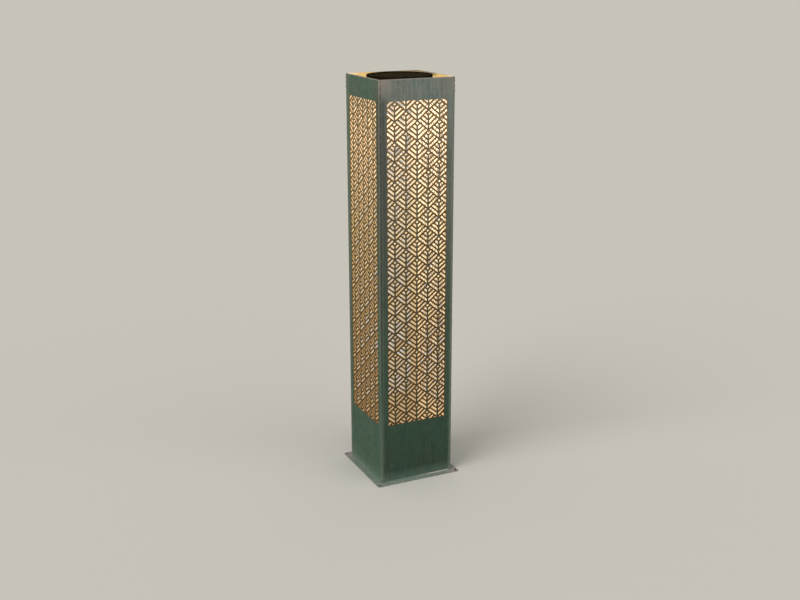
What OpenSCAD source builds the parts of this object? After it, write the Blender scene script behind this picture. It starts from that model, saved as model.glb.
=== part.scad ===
// Square lantern column of pierced sheet steel on a bolted foot, with a drop-in solar lamp in its open top.
// Origin: centre of the foot's underside. +Z is up and the front sheet faces -Y. All sizes in millimetres.

/* [Column] */
// Outside width of the square column
column_w = 150; // [145:1:180]
// Height of the column's top edge above the ground
column_h = 777; // [640:1:1000]
// Thickness of the column's sheet steel
sheet_t = 1.5; // [1:0.1:2]
// Radius of the weld bead that fills each open corner
corner_weld_r = 2.3; // [1.9:0.1:3.2]
// Length at the top of each corner where the bead is left lumpy
lumpy_h = 28; // [10:1:35]
// Distance between the lumps of the bead
lump_step = 2.4; // [2:0.1:4]
// How far the largest lump swells past the bead
lump_rise = 0.7; // [0.2:0.1:1]
// How uneven the lumps are, from 0 for all alike to 1
lump_unevenness = 0.7; // [0:0.1:1]

/* [Cut pattern] */
// Plain sheet between the pattern and the column's outside edge
side_margin = 15; // [12:0.5:20]
// Plain sheet above the pattern
top_margin = 39; // [30:1:60]
// Height of the pattern's lower edge above the ground
bottom_margin = 120; // [60:1:160]
// Number of leaves one above another
leaf_rows = 17; // [12:1:20]
// Sideways distance between the midribs of neighbouring leaves
leaf_pitch = 22.6; // [20:0.2:28]
// Number of bands in a leaf, from the long slots at its foot to the dot at its tip
leaf_bands = 4; // [3:1:5]
// Width of the steel left between two slots
rib_w = 3; // [2:0.1:3.6]

/* [Foot] */
// How far the square foot plate reaches out past the column
foot_lip = 12.5; // [12:0.5:25]
// Thickness of the foot plate
foot_t = 2; // [1.5:0.5:5]
// Radius of the foot plate's corners
foot_corner_r = 3; // [1:0.5:6]
// Distance from a bolt hole's centre to the plate's edges
foot_hole_inset = 5; // [4.5:0.1:8]
// Diameter of the bolt holes
foot_hole_d = 5; // [4:0.5:6]
// How far the foot plate reaches inwards past the column's outside face
foot_inner_reach = 6; // [4:0.5:12]
// Radius of the bead along the foot of each sheet
foot_weld_r = 1.6; // [1:0.1:2.2]

/* [Hangers] */
// Width of the four bent tabs that carry the lamp
hanger_w = 20; // [12:1:26]
// Height of the leg that is welded to the sheet
hanger_leg = 19; // [12:1:26]
// Thickness of the tabs
hanger_t = 1.5; // [1:0.1:2]
// How far the lamp's bezel lies on each tab
hanger_bearing = 6; // [5:0.5:6]

/* [Lamp bezel and cells] */
// Outside diameter of the lamp's bezel
lamp_d = 122; // [120:1:130]
// Width of the bezel's rim
rim_w = 3; // [2:0.5:4]
// Radius of the rim's rounded upper edges
rim_edge_r = 0.8; // [0.3:0.1:0.9]
// How far the rim stands above the column's top edge
rim_rise = 1; // [0.5:0.1:4]
// Depth of the window below the rim
window_drop = 1.5; // [1:0.1:4]
// Thickness of the clear window over the cells
window_t = 2; // [1:0.5:3]
// Thickness of the solar cells
cell_t = 0.4; // [0.2:0.1:0.8]
// Number of cell strips across the window
cell_strips = 8; // [4:1:10]
// Gap between two cell strips
cell_gap = 0.8; // [0.4:0.1:2]
// Bare border of the board round the cells
cell_border = 3; // [1:0.5:6]
// Thickness of the lamp's circuit boards
board_t = 1.6; // [1:0.2:2]
// Thickness of the bezel's inner ledge
ledge_t = 2.5; // [2:0.5:4]
// Width of the bezel's inner ledge
ledge_w = 16; // [15:0.5:18]
// Thickness of the rain seals
seal_t = 1; // [0.6:0.1:1.6]

/* [Lamp housing] */
// Depth of the housing below the hangers
housing_depth = 24.5; // [23:0.5:32]
// Wall thickness of the housing
housing_wall = 2; // [1.6:0.1:2.4]
// Radius of the housing's rounded lower edge
housing_edge_r = 0.8; // [0.3:0.1:0.8]
// Floor thickness of the housing
housing_floor = 2.5; // [2.2:0.1:3.5]
// Thickness of the housing's top flange
flange_t = 1.5; // [1.2:0.1:2.5]
// Gap between the housing and the hangers' ends
housing_clear = 1; // [0.5:0.1:2]
// Diameter of the screw posts
post_d = 7; // [6:0.2:7.6]
// Thread diameter of the housing screws
housing_screw_d = 2.6; // [2.2:0.1:3]
// Length of the housing screws under the head
housing_screw_l = 10; // [7:0.5:14]

/* [Battery] */
// Diameter of the rechargeable cell
battery_d = 14.2; // [13.8:0.1:14.5]
// Length of the rechargeable cell without its button
battery_l = 49; // [48:0.5:50]
// Wall thickness of the battery bay
bay_wall = 1.5; // [1:0.1:1.8]
// Plastic between the bay's corners and the housing's wall
bay_corner_wall = 1.5; // [1:0.1:3]
// Thickness of the battery cover
cover_t = 1.6; // [1.2:0.1:2.5]

/* [Light] */
// Outside diameter of the frosted dome
dome_d = 31; // [26:0.5:32]
// How far the dome hangs below the housing
dome_drop = 8; // [5:0.5:12]
// Wall thickness of the dome
dome_wall = 1.2; // [0.8:0.1:1.6]
// Height of the reflector
reflector_h = 7; // [5:0.5:9]

/* [Switch] */
// Travel of the switch's slider
switch_travel = 3; // [2:0.5:4]
// Width of the slider along its travel
slider_w = 3.6; // [2.4:0.2:4]
// How far the slider stands out of the housing
slider_proud = 2.2; // [1:0.2:3]

/* [Hidden] */
$fn = 48;

// Clearances
fit_gap = 0.2;      // a loose piece in its recess
slide_gap = 0.3;    // round the sliding knob
screw_gap = 0.05;   // a screw's thread in its hole, each side
through_gap = 0.3;  // a screw in the piece that it clamps, each side
cut_over = 1;       // how far a cutting shape runs past the surface it cuts

// Column
sheet_w = column_w - 2*sheet_t;
inner_half = column_w/2 - sheet_t;
sheet_h = column_h - foot_t;
pattern_w = column_w - 2*side_margin;
pattern_h = column_h - top_margin - bottom_margin;
leaf_h = pattern_h/leaf_rows;
band_h = leaf_h/leaf_bands;
rib_slope = atan2(leaf_h/2, leaf_pitch);
rib_half_up = rib_w/2/cos(rib_slope);  // half a rib, measured straight up
leaf_columns = ceil(pattern_w/2/leaf_pitch);
lump_count = floor(lumpy_h/lump_step);
lump_turn = 97;  // degrees from lump to lump of the wave that their size follows
foot_w = column_w + 2*foot_lip;
hole_place = foot_w/2 - foot_hole_inset;
foot_open_w = column_w - 2*foot_inner_reach;

// Lamp, from the rim down
lamp_r = lamp_d/2;
z_rim = column_h + rim_rise;
z_window = z_rim - window_drop;
z_cells = z_window - window_t;
z_board = z_cells - cell_t;
z_ledge = z_board - board_t;
z_seal = z_ledge - ledge_t;
z_flange = z_seal - seal_t;
z_seat = z_flange - flange_t;  // the bezel's underside, which lies on the hangers
z_floor = z_seat - housing_depth;
z_inside = z_floor + housing_floor;
recess_r = lamp_r - rim_w;
insert_r = recess_r - fit_gap;
hanger_reach = inner_half - lamp_r + hanger_bearing;
housing_r = lamp_r - hanger_bearing - housing_clear;
housing_in_r = housing_r - housing_wall;
post_wall_gap = 1.5;
post_ring_r = housing_in_r - post_d/2 - post_wall_gap;
ledge_in_r = recess_r - ledge_w;

// Screws
housing_head_d = housing_screw_d*2.1;
housing_head_h = 1.2;
head_sunk = 0.1;  // a sunk head's depth below the surface round it
small_screw_d = 2;
small_boss_d = 5.6;
small_head_d = 4.2;
small_head_h = 1.1;
small_screw_l = 7;

// Battery bay
contact_t = 0.5;
contact_rise = 1;  // from the housing's underside to the contacts
spring_l = 3.2;  // the bowed contact's depth
button_l = 1.2;
button_d = 5.4;
bay_l = battery_l + button_l + spring_l + 2*contact_t;
bay_gap = 0.6;   // between the cell and the bay, each side
bay_w = battery_d + 2*bay_gap;
bay_h = battery_d + 2*bay_gap;  // above the housing's underside
bay_half_l = bay_l/2 + bay_wall;
bay_half_w = bay_w/2 + bay_wall;
bay_corner_r = housing_in_r - bay_corner_wall;
bay_offset = sqrt(bay_corner_r*bay_corner_r - bay_l*bay_l/4) - bay_w/2;
contact_w = battery_d - 3;
cover_lap = 2;   // how far the cover passes the bay, each side
cover_l = bay_l + 2*cover_lap;
cover_w = bay_w + 2*cover_lap;
seal_inset = 0.5;
ear_x = 18;
ear_d = 7;
ear_y = bay_offset - cover_w/2 - ear_d/2;
small_boss_h = 5;
z_battery = z_floor + bay_gap + battery_d/2;

// Light
dome_flange_w = 2;
dome_r = dome_d/2;
reflector_t = 1;
reflector_top_r = 6;
reflector_rim_w = 2.5;
z_led_board = z_inside + reflector_h;
led_board_r = 9;
led_chip = [3.5, 2.8, 1.4];
led_place = 2.2;

// Control board
control_size = [56, 44];
control_y = -10;
board_gap = 4;  // between the light's board and the control board
z_control = z_led_board + board_t + board_gap;
standoff_inset = 4;  // from the board's edges to the standoffs' centres
standoff_x = control_size[0]/2 - standoff_inset;
standoff_y = control_size[1]/2 - standoff_inset;
standoff_d = 5;
coil_xy = [-12, -20];
coil_d = 8;
coil_h = 6;
chip_xy = [8, -22];
chip_size = [5, 4, 1.5];
capacitor_xy = [19, -12];
capacitor_d = 5;
capacitor_h = 7;

// Screw posts, clear of the battery bay and the control board
post_gap = 1;
post_x = max(bay_half_l, control_size[0]/2) + post_gap + post_d/2;
post_angle = acos(post_x/post_ring_r);
post_angles = [post_angle, 180 - post_angle, 180 + post_angle, 360 - post_angle];

// Leads
wire_r = 0.6;
wire_ball_r = 0.75;  // at a wire's bend
wire_rise = 5;  // height of the battery's leads above the bay
cell_lead_xy = [[-3, -6], [3, -6]];
led_lead_xy = [[-6, 0], [6, 0]];
switch_lead_x = 3;
battery_lead_from = [16, 8];
battery_lead_to_x = 22;

// Switch
switch_y = -28;
slider_d = 2.8;
slider_in = 1.6;  // the slider's depth inside its case
slot_l = slider_w + switch_travel + 2*slide_gap;
slot_w = slider_d + 2*slide_gap;
case_end = 2.5;
case_side = 1.5;
case_size = [slot_l + 2*case_end, slot_w + 2*case_side, 5];

// Colours
patina = "#4f6558";
weld_grey = "#6f7269";
pale_steel = "#8d9088";
black_plastic = "#1b1a18";
board_green = "#1f5a3a";

// ---- Cut pattern, drawn in the sheet's own plane, x across and y up ----

// The right half of the slot in one band of a leaf. The leaf's lowest point is the origin.
function band_slot(band) =
  let(
    rise = tan(rib_slope),
    low = band*band_h + rib_half_up,
    high = (band + 1)*band_h - rib_half_up,
    tip = leaf_h - rib_half_up,
    low_x = (tip - low)/(2*rise),
    high_x = (tip - high)/(2*rise),
    rib_x = rib_w/2
  )
  [[rib_x, low + rib_x*rise], [low_x, low + low_x*rise],
   [high_x, high + high_x*rise], [rib_x, high + rib_x*rise]];

// The diamond at a leaf's tip
function tip_dot() =
  let(
    rise = tan(rib_slope),
    low = (leaf_bands - 1)*band_h + rib_half_up,
    tip = leaf_h - rib_half_up,
    side_x = (tip - low)/(2*rise)
  )
  [[0, low], [side_x, (low + tip)/2], [0, tip], [-side_x, (low + tip)/2]];

module leaf() {
  for (band = [0 : leaf_bands - 2], side = [-1, 1])
    polygon([for (p = band_slot(band)) [side*p[0], p[1]]]);
  polygon(tip_dot());
}

// Leaves stand in columns, each column half a leaf higher than the next, cut straight at the edges
module pattern() {
  intersection() {
    square([pattern_w, pattern_h]);
    for (column = [-leaf_columns : leaf_columns], row = [-1 : leaf_rows - 1])
      translate([pattern_w/2 + column*leaf_pitch, (row + (abs(column) % 2)/2)*leaf_h])
        leaf();
  }
}

// One flat sheet, standing on the foot plate with its outside face at y = -column_w/2
module pierced_sheet() {
  translate([0, -inner_half, foot_t])
    rotate([90, 0, 0])
      linear_extrude(sheet_t)
        difference() {
          translate([-sheet_w/2, 0])
            square([sheet_w, sheet_h]);
          translate([-pattern_w/2, bottom_margin - foot_t])
            pattern();
        }
}

module front_sheet() {
  color(patina) pierced_sheet();
}

module right_sheet() {
  color(patina) rotate([0, 0, 90]) pierced_sheet();
}

module back_sheet() {
  color(patina) rotate([0, 0, 180]) pierced_sheet();
}

module left_sheet() {
  color(patina) rotate([0, 0, 270]) pierced_sheet();
}

// ---- Column, welds and foot ----

// Radius of the lump of that number, counted from the top
function lump_r(i) = corner_weld_r + lump_rise*(1 - lump_unevenness*(1 + sin(i*lump_turn))/2);

// The bead in the open corner at +X +Y: round outside, and cut away where the two sheets are
module corner_weld() {
  reach = 2*corner_weld_r + 2*lump_rise;
  difference() {
    translate([inner_half, inner_half, foot_t]) {
      cylinder(r = corner_weld_r, h = sheet_h);
      for (i = [1 : lump_count])
        translate([0, 0, sheet_h - i*lump_step])
          sphere(r = lump_r(i));
    }
    translate([inner_half - reach, inner_half - reach, foot_t - cut_over])
      cube([reach, reach + sheet_t, sheet_h + 2*cut_over]);
    translate([inner_half - reach, inner_half - reach, foot_t - cut_over])
      cube([reach + sheet_t, reach, sheet_h + 2*cut_over]);
  }
}

module corner_welds() {
  color(weld_grey)
    for (turn = [0 : 90 : 270])
      rotate([0, 0, turn]) corner_weld();
}

module rounded_square(width, r) {
  half = width/2 - r;
  square([width, width - 2*r], center = true);
  square([width - 2*r, width], center = true);
  for (x = [-half, half], y = [-half, half])
    translate([x, y]) circle(r);
}

module foot_plate() {
  color(patina)
    difference() {
      linear_extrude(foot_t)
        rounded_square(foot_w, foot_corner_r);
      translate([0, 0, -cut_over])
        linear_extrude(foot_t + 2*cut_over)
          rounded_square(foot_open_w, foot_corner_r);
      for (x = [-hole_place, hole_place], y = [-hole_place, hole_place])
        translate([x, y, -cut_over])
          cylinder(d = foot_hole_d, h = foot_t + 2*cut_over);
    }
}

// A quarter-round bead along the foot of each sheet, stopping short of the corner beads
module foot_welds() {
  bead_l = sheet_w - 2*(corner_weld_r + lump_rise);
  color(weld_grey)
    for (turn = [0 : 90 : 270])
      rotate([0, 0, turn])
        translate([-bead_l/2, -column_w/2, foot_t])
          intersection() {
            rotate([0, 90, 0]) cylinder(r = foot_weld_r, h = bead_l);
            translate([0, -foot_weld_r, 0]) cube([bead_l, foot_weld_r, foot_weld_r]);
          }
}

// A bent tab: its leg is welded inside the sheet and its shelf carries the lamp
module hanger_tab() {
  inner_r = 0.5;
  outer_r = hanger_t + inner_r;
  translate([-hanger_w/2, inner_half, z_seat])
    rotate([90, 0, 90])
      linear_extrude(hanger_w)
        difference() {
          union() {
            translate([-hanger_reach, -hanger_t])
              square([hanger_reach - outer_r, hanger_t]);
            translate([-hanger_t, -hanger_leg])
              square([hanger_t, hanger_leg - outer_r]);
            translate([-outer_r, -outer_r])
              intersection() {
                circle(outer_r);
                square(outer_r);
              }
          }
          translate([-outer_r, -outer_r]) circle(inner_r);
        }
}

module hanger_tabs() {
  color(pale_steel)
    for (turn = [0 : 90 : 270])
      rotate([0, 0, turn]) hanger_tab();
}

// ---- Lamp ----

module ring(r_out, r_in, z_low, z_high) {
  translate([0, 0, z_low])
    difference() {
      cylinder(r = r_out, h = z_high - z_low);
      translate([0, 0, -cut_over])
        cylinder(r = r_in, h = z_high - z_low + 2*cut_over);
    }
}

// Pan head pointing down with a cross recess, thread pointing up. The origin is under the head.
module screw(thread_d, thread_l, head_d, head_h) {
  recess_l = head_d*0.6;
  recess_w = head_d*0.16;
  cylinder(d = thread_d, h = thread_l);
  difference() {
    translate([0, 0, -head_h]) cylinder(d = head_d, h = head_h);
    for (turn = [0, 90])
      rotate([0, 0, turn])
        translate([-recess_l/2, -recess_w/2, -head_h - cut_over])
          cube([recess_l, recess_w, cut_over + head_h*0.6]);
  }
}

module at_posts() {
  for (angle = post_angles)
    rotate([0, 0, angle]) translate([post_ring_r, 0, 0]) children();
}

// The bezel's rim, turned from its section, which is rounded at both upper edges
module bezel_rim() {
  edge_z = z_rim - rim_edge_r;
  rotate_extrude() {
    translate([recess_r, z_seat]) square([rim_w, edge_z - z_seat]);
    translate([recess_r + rim_edge_r, z_seat]) square([rim_w - 2*rim_edge_r, z_rim - z_seat]);
    for (x = [recess_r + rim_edge_r, lamp_r - rim_edge_r])
      translate([x, edge_z]) circle(rim_edge_r);
  }
}

module bezel_ring() {
  post_top = z_seal;
  post_low = z_inside + fit_gap;
  bore = housing_screw_d + 2*screw_gap;
  bore_l = housing_screw_l;
  color(black_plastic)
    difference() {
      union() {
        bezel_rim();
        ring(recess_r + rim_w/2, ledge_in_r, z_seal, z_ledge);
        at_posts() translate([0, 0, post_low]) cylinder(d = post_d, h = post_top - post_low + ledge_t/2);
      }
      at_posts() translate([0, 0, post_low - cut_over]) cylinder(d = bore, h = bore_l + cut_over);
    }
}

module cell_window() {
  color("#8fa3ad", 0.3)
    translate([0, 0, z_cells]) cylinder(r = insert_r, h = window_t);
}

// Cell strips side by side, cut round at the border
module solar_cells() {
  cells_r = insert_r - cell_border;
  strip_pitch = (2*cells_r + cell_gap)/cell_strips;
  color("#2a2733")
    translate([0, 0, z_board])
      linear_extrude(cell_t)
        intersection() {
          circle(cells_r);
          for (i = [0 : cell_strips - 1])
            translate([-cells_r + i*strip_pitch, -cells_r])
              square([strip_pitch - cell_gap, 2*cells_r]);
        }
}

module cell_board() {
  color("#23211d")
    translate([0, 0, z_ledge]) cylinder(r = insert_r, h = board_t);
}

module rim_seal() {
  color("#101010") ring(insert_r, housing_r, z_flange, z_seal);
}

// Places of the two screws that hold the battery cover
module at_ears() {
  for (x = [-ear_x, ear_x])
    translate([x, ear_y, 0]) children();
}

module at_standoffs() {
  for (x = [-standoff_x, standoff_x], y = [-standoff_y, standoff_y])
    translate([x, control_y + y, 0]) children();
}

// The housing's wall and floor, turned from their section, which is rounded at the lower edge
module housing_shell() {
  edge_z = z_floor + housing_edge_r;
  edge_x = housing_r - housing_edge_r;
  rotate_extrude() {
    translate([0, z_floor]) square([edge_x, housing_floor]);
    translate([housing_in_r, edge_z]) square([housing_wall, z_seat + flange_t/2 - edge_z]);
    translate([edge_x, edge_z]) circle(housing_edge_r);
  }
}

module lamp_housing() {
  counter_d = housing_head_d + 2*fit_gap;
  counter_h = housing_head_h + head_sunk;
  hole_d = housing_screw_d + 2*through_gap;
  small_bore = small_screw_d + 2*screw_gap;
  color(black_plastic)
    difference() {
      union() {
        ring(insert_r, housing_in_r, z_seat, z_flange);
        housing_shell();
        translate([-bay_half_l, bay_offset - bay_half_w, z_floor])
          cube([2*bay_half_l, 2*bay_half_w, bay_h + bay_wall]);
        at_ears() translate([0, 0, z_floor]) cylinder(d = small_boss_d, h = small_boss_h);
        at_standoffs() translate([0, 0, z_floor]) cylinder(d = standoff_d, h = z_control - z_floor);
      }
      translate([-bay_l/2, bay_offset - bay_w/2, z_floor - cut_over])
        cube([bay_l, bay_w, bay_h + cut_over]);
      translate([0, 0, z_floor - cut_over])
        cylinder(r = dome_r - dome_wall, h = housing_floor + 2*cut_over);
      translate([-slot_l/2, switch_y - slot_w/2, z_floor - cut_over])
        cube([slot_l, slot_w, housing_floor + 2*cut_over]);
      at_posts() translate([0, 0, z_floor - cut_over]) cylinder(d = hole_d, h = housing_floor + 2*cut_over);
      at_posts() translate([0, 0, z_floor - cut_over]) cylinder(d = counter_d, h = counter_h + cut_over);
      at_ears()
        translate([0, 0, z_floor - cut_over]) cylinder(d = small_bore, h = small_boss_h + 2*cut_over);
      at_standoffs()
        translate([0, 0, z_control - small_screw_l]) cylinder(d = small_bore, h = small_screw_l + cut_over);
    }
}

module housing_screws() {
  color("#b9bab5")
    at_posts() translate([0, 0, z_floor + housing_head_h + head_sunk])
      screw(housing_screw_d, housing_screw_l, housing_head_d, housing_head_h);
}

// The cell lies along X, its button towards +X
module battery() {
  color("#3c7a4a")
    translate([-bay_l/2 + contact_t + spring_l, bay_offset, z_battery])
      rotate([0, 90, 0]) {
        cylinder(d = battery_d, h = battery_l);
        cylinder(d = button_d, h = battery_l + button_l);
      }
}

// A contact plate against the bay's end wall, up to the bay's roof
module contact_plate(x) {
  translate([x, bay_offset - contact_w/2, z_floor + contact_rise])
    cube([contact_t, contact_w, bay_h - contact_rise]);
}

module battery_contact_plus() {
  color("#c9c7bd") contact_plate(bay_l/2 - contact_t);
}

// The sprung contact: a plate with a bowed leaf that presses on the cell's flat end
module battery_contact_minus() {
  end_gap = 1.5;
  leaf_half = contact_w/2 - end_gap;
  bow_r = (leaf_half*leaf_half + spring_l*spring_l)/(2*spring_l);
  color("#c9c7bd") {
    contact_plate(-bay_l/2);
    translate([-bay_l/2 + contact_t, bay_offset, z_battery])
      rotate([90, 0, 0])
        translate([spring_l - bow_r, 0, -contact_w/4])
          linear_extrude(contact_w/2)
            intersection() {
              difference() {
                circle(bow_r);
                circle(bow_r - contact_t);
              }
              translate([bow_r - spring_l, -leaf_half]) square([spring_l, 2*leaf_half]);
            }
  }
}

module cover_outline(grow) {
  translate([0, bay_offset])
    square([cover_l + 2*grow, cover_w + 2*grow], center = true);
}

module battery_seal() {
  color("#101010")
    translate([0, 0, z_floor - seal_t])
      linear_extrude(seal_t)
        difference() {
          cover_outline(-seal_inset);
          cover_outline(seal_inset - cover_lap);
        }
}

// The cover has two ears towards the lamp's middle, and each ear has a pad as thick as the seal
module battery_cover() {
  hole_d = small_screw_d + 2*through_gap;
  pad_d = ear_d - 1;
  color(black_plastic)
    difference() {
      union() {
        translate([0, 0, z_floor - seal_t - cover_t])
          linear_extrude(cover_t) {
            cover_outline(0);
            for (x = [-ear_x, ear_x])
              translate([x - ear_d/2, ear_y]) square([ear_d, ear_d]);
            for (x = [-ear_x, ear_x])
              translate([x, ear_y]) circle(d = ear_d);
          }
        at_ears()
          translate([0, 0, z_floor - seal_t - cover_t/2]) cylinder(d = pad_d, h = seal_t + cover_t/2);
      }
      at_ears()
        translate([0, 0, z_floor - seal_t - cover_t - cut_over])
          cylinder(d = hole_d, h = seal_t + cover_t + 2*cut_over);
    }
}

module battery_cover_screws() {
  color("#b9bab5")
    at_ears() translate([0, 0, z_floor - seal_t - cover_t])
      screw(small_screw_d, small_screw_l, small_head_d, small_head_h);
}

module control_board() {
  color(board_green)
    difference() {
      translate([-control_size[0]/2, control_y - control_size[1]/2, z_control])
        cube([control_size[0], control_size[1], board_t]);
      at_standoffs()
        translate([0, 0, z_control - cut_over])
          cylinder(d = small_screw_d + 2*through_gap, h = board_t + 2*cut_over);
    }
}

// Coil, chip and capacitor that charge the cell and drive the light
module board_parts() {
  z_top = z_control + board_t;
  color("#2b2b2b") {
    translate([coil_xy[0], coil_xy[1], z_top]) cylinder(d = coil_d, h = coil_h);
    translate([chip_xy[0], chip_xy[1], z_top]) cube(chip_size);
    translate([capacitor_xy[0], capacitor_xy[1], z_top]) cylinder(d = capacitor_d, h = capacitor_h);
  }
}

module board_screws() {
  color("#b9bab5")
    at_standoffs() translate([0, 0, z_control + board_t])
      mirror([0, 0, 1]) screw(small_screw_d, small_screw_l, small_head_d, small_head_h);
}

module led_board() {
  color("#e8e6df")
    translate([0, 0, z_led_board]) cylinder(r = led_board_r, h = board_t);
}

module led_chips() {
  color("#ffd98a")
    for (x = [-led_place, led_place], y = [-led_place, led_place])
      translate([x - led_chip[0]/2, y - led_chip[1]/2, z_led_board - led_chip[2]])
        cube(led_chip);
}

// A cone from the board down to the housing's floor, with a rim that rests on the floor
module led_reflector() {
  foot_r = dome_r - dome_wall;
  rim_r = foot_r + reflector_rim_w;
  color("#dcdcd6")
    rotate_extrude()
      polygon([[reflector_top_r, z_led_board], [foot_r, z_inside], [rim_r, z_inside],
        [rim_r, z_inside + reflector_t], [foot_r + reflector_t, z_inside + reflector_t],
        [reflector_top_r + reflector_t, z_led_board]]);
}

// A shallow frosted dome below the floor, with a flange against the housing's underside
module frosted_dome() {
  sphere_r = (dome_r*dome_r + dome_drop*dome_drop)/(2*dome_drop);
  z_centre = -dome_drop + sphere_r;
  color("#fff1cf")
    translate([0, 0, z_floor])
      rotate_extrude()
        union() {
          intersection() {
            difference() {
              translate([0, z_centre]) circle(sphere_r);
              translate([0, z_centre]) circle(sphere_r - dome_wall);
            }
            translate([0, -dome_drop]) square([dome_r, dome_drop]);
          }
          translate([dome_r - dome_wall, -dome_wall]) square([dome_wall + dome_flange_w, dome_wall]);
        }
}

module switch_case() {
  color("#3a3a3a")
    translate([0, switch_y, z_inside])
      difference() {
        translate([-case_size[0]/2, -case_size[1]/2, 0]) cube(case_size);
        translate([-slot_l/2, -slot_w/2, -cut_over])
          cube([slot_l, slot_w, cut_over + slider_in + slide_gap]);
      }
}

// The slider, in its place for a lit lamp at the slot's +X end
module switch_slider() {
  color("#d8d6cc")
    translate([slot_l/2 - slide_gap - slider_w, switch_y - slider_d/2, z_floor - slider_proud])
      cube([slider_w, slider_d, slider_proud + housing_floor + slider_in]);
}

// A round wire through a list of points, with a ball at each bend
module wire(points) {
  for (i = [0 : len(points) - 2]) {
    span = points[i + 1] - points[i];
    length = norm(span);
    translate(points[i])
      rotate([0, acos(span[2]/length), atan2(span[1], span[0])])
        cylinder(r = wire_r, h = length);
  }
  for (i = [1 : 1 : len(points) - 2])
    translate(points[i]) sphere(r = wire_ball_r);
}

module lead_wires() {
  z_top = z_control + board_t;
  z_bay = z_floor + bay_h + bay_wall;
  color("#a02822") {
    for (place = cell_lead_xy)
      wire([[place[0], place[1], z_top], [place[0], place[1], z_ledge]]);
    for (place = led_lead_xy)
      wire([[place[0], place[1], z_led_board + board_t], [place[0], place[1], z_control]]);
    for (x = [-switch_lead_x, switch_lead_x])
      wire([[x, switch_y, z_inside + case_size[2]], [x, switch_y, z_control]]);
    for (side = [-1, 1])
      wire([
        [side*battery_lead_from[0], battery_lead_from[1], z_top],
        [side*battery_lead_from[0], battery_lead_from[1], z_bay + wire_rise],
        [side*battery_lead_to_x, bay_offset, z_bay + wire_rise],
        [side*battery_lead_to_x, bay_offset, z_bay]
      ]);
  }
}

front_sheet();
right_sheet();
back_sheet();
left_sheet();
corner_welds();
foot_plate();
foot_welds();
hanger_tabs();
bezel_ring();
cell_window();
solar_cells();
cell_board();
rim_seal();
lamp_housing();
housing_screws();
battery();
battery_contact_plus();
battery_contact_minus();
battery_seal();
battery_cover();
battery_cover_screws();
control_board();
board_parts();
board_screws();
led_board();
led_chips();
led_reflector();
frosted_dome();
switch_case();
switch_slider();
lead_wires();
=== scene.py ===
# %% [markdown]
# # Dressing a pierced steel lantern
#
# The model is a square garden lantern of laser-cut sheet steel under a green patina, with a small
# solar lamp that drops into its open top. The construction is loaded ready-made and stays as it
# is. What is left to do here is what the eye reads first: the brushed, mottled patina, the rough
# weld beads, the warm light inside, and the dark solar cells under their window.

# %% Load the construction
import math

import bpy
from mathutils import Matrix, Vector


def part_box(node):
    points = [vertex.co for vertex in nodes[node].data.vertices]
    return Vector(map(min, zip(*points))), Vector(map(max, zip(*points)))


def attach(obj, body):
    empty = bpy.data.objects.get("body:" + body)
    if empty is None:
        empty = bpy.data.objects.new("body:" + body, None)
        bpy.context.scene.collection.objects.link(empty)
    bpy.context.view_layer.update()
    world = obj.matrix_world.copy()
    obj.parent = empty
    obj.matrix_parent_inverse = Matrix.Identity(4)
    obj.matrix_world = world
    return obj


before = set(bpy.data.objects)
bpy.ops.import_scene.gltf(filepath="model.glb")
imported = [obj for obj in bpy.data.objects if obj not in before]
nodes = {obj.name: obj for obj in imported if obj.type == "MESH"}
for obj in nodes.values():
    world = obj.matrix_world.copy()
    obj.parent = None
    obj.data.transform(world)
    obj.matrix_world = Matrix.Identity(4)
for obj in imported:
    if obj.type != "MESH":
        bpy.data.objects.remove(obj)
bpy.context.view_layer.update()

# %% [markdown]
# ## The camera
#
# A camera is described best by what a photographer would note down: where it stands, which way it
# looks, and its lens. Here it stands a little over two metres away, to the left of the front sheet
# and above it. Azimuth and elevation are angles about the lantern, so the place follows from three
# numbers and the point that the camera aims at. The lens is worked out from the width of the
# picture in pixels.

# %% Place the camera
PICTURE_W = 800         # pixels
FOCAL_PX = 1114.6       # focal length in pixels of that picture
SENSOR_MM = 36
AZIMUTH = -25.27        # degrees, to the left of straight ahead
ELEVATION = 16.67
ROLL = -0.13
DISTANCE = 2.171
AIM = Vector((0, 0, 0.345))


def direction(azimuth, elevation):
    """The unit vector towards that azimuth and elevation, both in degrees."""
    turn = math.radians(azimuth)
    tilt = math.radians(elevation)
    return Vector((math.sin(turn) * math.cos(tilt), -math.cos(turn) * math.cos(tilt),
                   math.sin(tilt)))


backward = direction(AZIMUTH, ELEVATION)
camera_data = bpy.data.cameras.new("camera")
camera_data.sensor_width = SENSOR_MM
camera_data.lens = FOCAL_PX / PICTURE_W * SENSOR_MM
camera = bpy.data.objects.new("camera", camera_data)
bpy.context.scene.collection.objects.link(camera)
camera.rotation_mode = "QUATERNION"
camera.location = AIM + backward * DISTANCE
camera.rotation_quaternion = (-backward).to_track_quat("-Z", "Y") @ Matrix.Rotation(
    math.radians(ROLL), 4, "Z").to_quaternion()
bpy.context.scene.camera = camera
print(f"a {camera_data.lens:.0f} mm lens, {DISTANCE:.2f} m from the lantern")

# %% [markdown]
# ## Helpers for the materials
#
# Colours are easiest to judge and to share as sRGB hex values, but a shader calculates in linear
# light. One function does that change everywhere.
#
# A node material is a graph: each node has settings of its own, and sockets that take a value or a
# link. One function adds a node with both, so that a material reads as a list of its layers. It
# uses another that fills sockets, which also fills those of the shader at the end.

# %% Colour and node helpers
def linear(hex_colour):
    """The linear RGBA of an sRGB hex colour such as #8a8f88."""
    rgb = []
    for place in (1, 3, 5):
        value = int(hex_colour[place:place + 2], 16) / 255
        rgb.append(value / 12.92 if value <= 0.04045 else ((value + 0.055) / 1.055) ** 2.4)
    return (*rgb, 1.0)


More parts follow.
